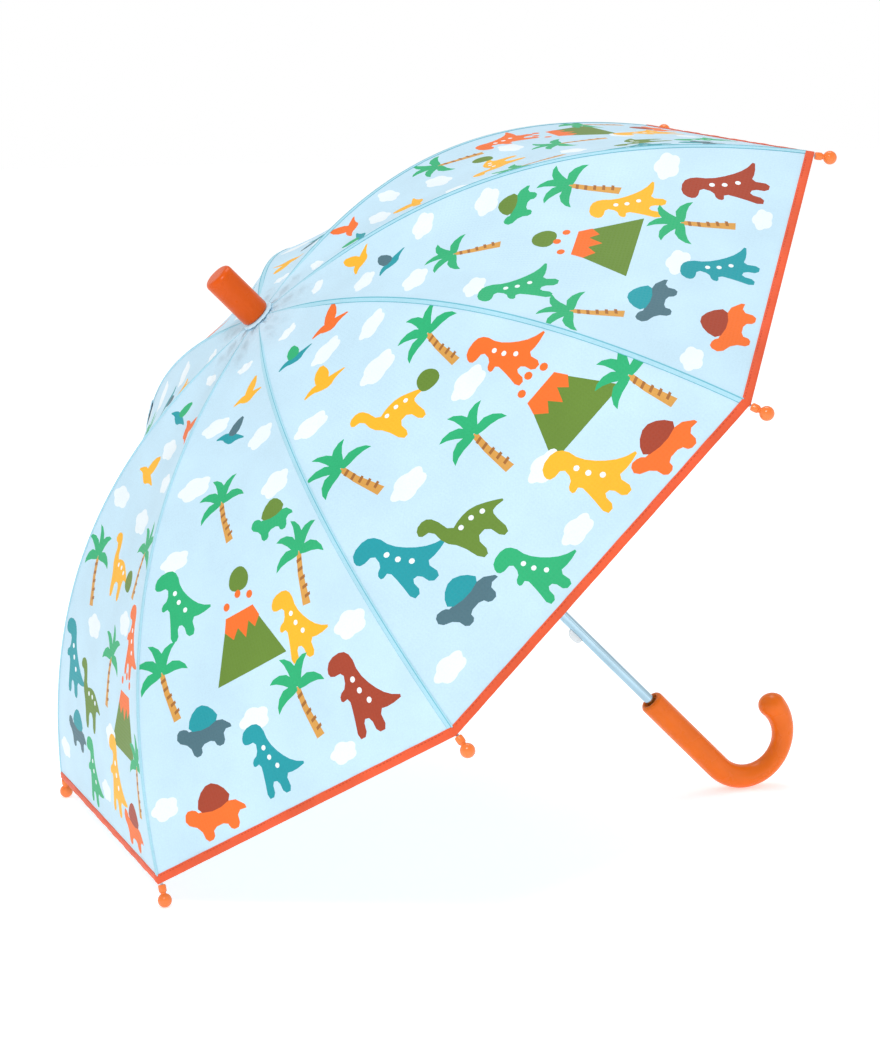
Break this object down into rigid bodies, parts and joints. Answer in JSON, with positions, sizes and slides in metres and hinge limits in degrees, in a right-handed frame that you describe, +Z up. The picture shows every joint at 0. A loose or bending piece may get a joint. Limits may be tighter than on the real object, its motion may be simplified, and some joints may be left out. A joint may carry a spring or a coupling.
{
  "type": "children's umbrella",
  "caption": "Child's stick umbrella standing open: domed fabric canopy on folding steel ribs and stays, sliding runner, spring catches, crook handle and ball tips.",
  "frame": {"origin": "centre of the umbrella's footprint on the floor it lies on", "axes": "+Z up, shaft in the XZ plane with the cap towards -X and up and the handle towards +X and down, +Y across the canopy"},
  "size_m": [0.5604, 0.7142, 0.5142],
  "materials": {
    "chromed_steel": "polished chrome plate",
    "galvanised_steel": "bright zinc plate",
    "orange_plastic": "satin orange moulding",
    "white_plastic": "plain white moulding",
    "clear_plastic": "clear moulding",
    "sky_blue_cloth": "printed plain-weave cloth",
    "orange_tape": "woven binding tape"
  },
  "bodies": {
    "shaft": {"shaft": "chromed_steel", "handle": "orange_plastic", "top_cap": "orange_plastic", "canopy_washer": "sky_blue_cloth", "crown": "white_plastic", "crown_wire": "chromed_steel", "top_stop": "white_plastic"},
    "runner": {"runner": "white_plastic"},
    "top_catch": {"top_catch": "clear_plastic"},
    "bottom_catch": {"bottom_catch": "clear_plastic"},
    "rib_1": {"rib_1": "galvanised_steel", "rivet_1": "chromed_steel", "tip_cap_1": "orange_plastic", "canopy_panel_1": "sky_blue_cloth", "hem_tape_1": "orange_tape"},
    "stretcher_1": {"stretcher_1": "galvanised_steel"},
    "rib_2": {"rib_2": "galvanised_steel", "rivet_2": "chromed_steel", "tip_cap_2": "orange_plastic", "canopy_panel_2": "sky_blue_cloth", "hem_tape_2": "orange_tape"},
    "stretcher_2": {"stretcher_2": "galvanised_steel"},
    "rib_3": {"rib_3": "galvanised_steel", "rivet_3": "chromed_steel", "tip_cap_3": "orange_plastic", "canopy_panel_3": "sky_blue_cloth", "hem_tape_3": "orange_tape", "closure_strap": "sky_blue_cloth"},
    "stretcher_3": {"stretcher_3": "galvanised_steel"},
    "rib_4": {"rib_4": "galvanised_steel", "rivet_4": "chromed_steel", "tip_cap_4": "orange_plastic", "canopy_panel_4": "sky_blue_cloth", "hem_tape_4": "orange_tape"},
    "stretcher_4": {"stretcher_4": "galvanised_steel"},
    "rib_5": {"rib_5": "galvanised_steel", "rivet_5": "chromed_steel", "tip_cap_5": "orange_plastic", "canopy_panel_5": "sky_blue_cloth", "hem_tape_5": "orange_tape"},
    "stretcher_5": {"stretcher_5": "galvanised_steel"},
    "rib_6": {"rib_6": "galvanised_steel", "rivet_6": "chromed_steel", "tip_cap_6": "orange_plastic", "canopy_panel_6": "sky_blue_cloth", "hem_tape_6": "orange_tape"},
    "stretcher_6": {"stretcher_6": "galvanised_steel"},
    "rib_7": {"rib_7": "galvanised_steel", "rivet_7": "chromed_steel", "tip_cap_7": "orange_plastic", "canopy_panel_7": "sky_blue_cloth", "hem_tape_7": "orange_tape"},
    "stretcher_7": {"stretcher_7": "galvanised_steel"},
    "rib_8": {"rib_8": "galvanised_steel", "rivet_8": "chromed_steel", "tip_cap_8": "orange_plastic", "canopy_panel_8": "sky_blue_cloth", "hem_tape_8": "orange_tape"},
    "stretcher_8": {"stretcher_8": "galvanised_steel"}
  },
  "joints": [
    {"name": "runner_slide", "type": "slide", "parent": "shaft", "child": "runner", "axis": [0.7103, 0, -0.7039], "range_m": [0, 0.163]},
    {"name": "top_catch_press", "type": "slide", "parent": "shaft", "child": "top_catch", "axis": [0.7039, 0, 0.7103], "range_m": [0, 0.0044], "stiffness_N_per_m": 400, "springref_m": -0.001},
    {"name": "bottom_catch_press", "type": "slide", "parent": "shaft", "child": "bottom_catch", "axis": [0.7039, 0, 0.7103], "range_m": [0, 0.0044], "stiffness_N_per_m": 400, "springref_m": -0.001},
    {"name": "rib_1_fold", "type": "hinge", "parent": "shaft", "child": "rib_1", "pos_m": [-0.14933, 0.00306, 0.39123], "axis": [-0.2694, 0.9239, -0.2718], "range_deg": [0, 62.6], "deforming": ["canopy_panel_1", "hem_tape_1"]},
    {"name": "stretcher_1_turn", "type": "hinge", "parent": "rib_1", "child": "stretcher_1", "pos_m": [-0.04252, 0.05673, 0.46781], "axis": [-0.2694, 0.9239, -0.2718], "range_deg": [-93.6, 0]},
    {"name": "rib_2_fold", "type": "hinge", "parent": "shaft", "child": "rib_2", "pos_m": [-0.15238, 0.00739, 0.38816], "axis": [-0.6503, 0.3827, -0.6562], "range_deg": [0, 62.6], "deforming": ["canopy_panel_2", "hem_tape_2"]},
    {"name": "stretcher_2_turn", "type": "hinge", "parent": "rib_2", "child": "stretcher_2", "pos_m": [-0.099, 0.13697, 0.41082], "axis": [-0.6503, 0.3827, -0.6562], "range_deg": [-93.6, 0]},
    {"name": "rib_3_fold", "type": "hinge", "parent": "shaft", "child": "rib_3", "pos_m": [-0.15669, 0.00739, 0.38381], "axis": [-0.6503, -0.3827, -0.6562], "range_deg": [0, 62.6], "deforming": ["canopy_panel_3", "hem_tape_3"]},
    {"name": "stretcher_3_turn", "type": "hinge", "parent": "rib_3", "child": "stretcher_3", "pos_m": [-0.17887, 0.13697, 0.33022], "axis": [-0.6503, -0.3827, -0.6562], "range_deg": [-93.6, 0]},
    {"name": "rib_4_fold", "type": "hinge", "parent": "shaft", "child": "rib_4", "pos_m": [-0.15973, 0.00306, 0.38073], "axis": [-0.2694, -0.9239, -0.2718], "range_deg": [0, 62.6], "deforming": ["canopy_panel_4", "hem_tape_4"]},
    {"name": "stretcher_4_turn", "type": "hinge", "parent": "rib_4", "child": "stretcher_4", "pos_m": [-0.23534, 0.05673, 0.27323], "axis": [-0.2694, -0.9239, -0.2718], "range_deg": [-93.6, 0]},
    {"name": "rib_5_fold", "type": "hinge", "parent": "shaft", "child": "rib_5", "pos_m": [-0.15973, -0.00306, 0.38073], "axis": [0.2694, -0.9239, 0.2718], "range_deg": [0, 62.6], "deforming": ["canopy_panel_5", "hem_tape_5"]},
    {"name": "stretcher_5_turn", "type": "hinge", "parent": "rib_5", "child": "stretcher_5", "pos_m": [-0.23534, -0.05673, 0.27323], "axis": [0.2694, -0.9239, 0.2718], "range_deg": [-93.6, 0]},
    {"name": "rib_6_fold", "type": "hinge", "parent": "shaft", "child": "rib_6", "pos_m": [-0.15669, -0.00739, 0.38381], "axis": [0.6503, -0.3827, 0.6562], "range_deg": [0, 62.6], "deforming": ["canopy_panel_6", "hem_tape_6"]},
    {"name": "stretcher_6_turn", "type": "hinge", "parent": "rib_6", "child": "stretcher_6", "pos_m": [-0.17887, -0.13697, 0.33022], "axis": [0.6503, -0.3827, 0.6562], "range_deg": [-93.6, 0]},
    {"name": "rib_7_fold", "type": "hinge", "parent": "shaft", "child": "rib_7", "pos_m": [-0.15238, -0.00739, 0.38816], "axis": [0.6503, 0.3827, 0.6562], "range_deg": [0, 62.6], "deforming": ["canopy_panel_7", "hem_tape_7"]},
    {"name": "stretcher_7_turn", "type": "hinge", "parent": "rib_7", "child": "stretcher_7", "pos_m": [-0.099, -0.13697, 0.41082], "axis": [0.6503, 0.3827, 0.6562], "range_deg": [-93.6, 0]},
    {"name": "rib_8_fold", "type": "hinge", "parent": "shaft", "child": "rib_8", "pos_m": [-0.14933, -0.00306, 0.39123], "axis": [0.2694, 0.9239, 0.2718], "range_deg": [0, 62.6], "deforming": ["canopy_panel_8", "hem_tape_8"]},
    {"name": "stretcher_8_turn", "type": "hinge", "parent": "rib_8", "child": "stretcher_8", "pos_m": [-0.04252, -0.05673, 0.46781], "axis": [0.2694, 0.9239, 0.2718], "range_deg": [-93.6, 0]}
  ],
  "couplings": [
    {"joint": "rib_1_fold", "follows": "runner_slide", "rad_per_m": 6.6895},
    {"joint": "stretcher_1_turn", "follows": "runner_slide", "rad_per_m": -9.9883},
    {"joint": "rib_2_fold", "follows": "runner_slide", "rad_per_m": 6.6895},
    {"joint": "stretcher_2_turn", "follows": "runner_slide", "rad_per_m": -9.9883},
    {"joint": "rib_3_fold", "follows": "runner_slide", "rad_per_m": 6.6895},
    {"joint": "stretcher_3_turn", "follows": "runner_slide", "rad_per_m": -9.9883},
    {"joint": "rib_4_fold", "follows": "runner_slide", "rad_per_m": 6.6895},
    {"joint": "stretcher_4_turn", "follows": "runner_slide", "rad_per_m": -9.9883},
    {"joint": "rib_5_fold", "follows": "runner_slide", "rad_per_m": 6.6895},
    {"joint": "stretcher_5_turn", "follows": "runner_slide", "rad_per_m": -9.9883},
    {"joint": "rib_6_fold", "follows": "runner_slide", "rad_per_m": 6.6895},
    {"joint": "stretcher_6_turn", "follows": "runner_slide", "rad_per_m": -9.9883},
    {"joint": "rib_7_fold", "follows": "runner_slide", "rad_per_m": 6.6895},
    {"joint": "stretcher_7_turn", "follows": "runner_slide", "rad_per_m": -9.9883},
    {"joint": "rib_8_fold", "follows": "runner_slide", "rad_per_m": 6.6895},
    {"joint": "stretcher_8_turn", "follows": "runner_slide", "rad_per_m": -9.9883}
  ]
}
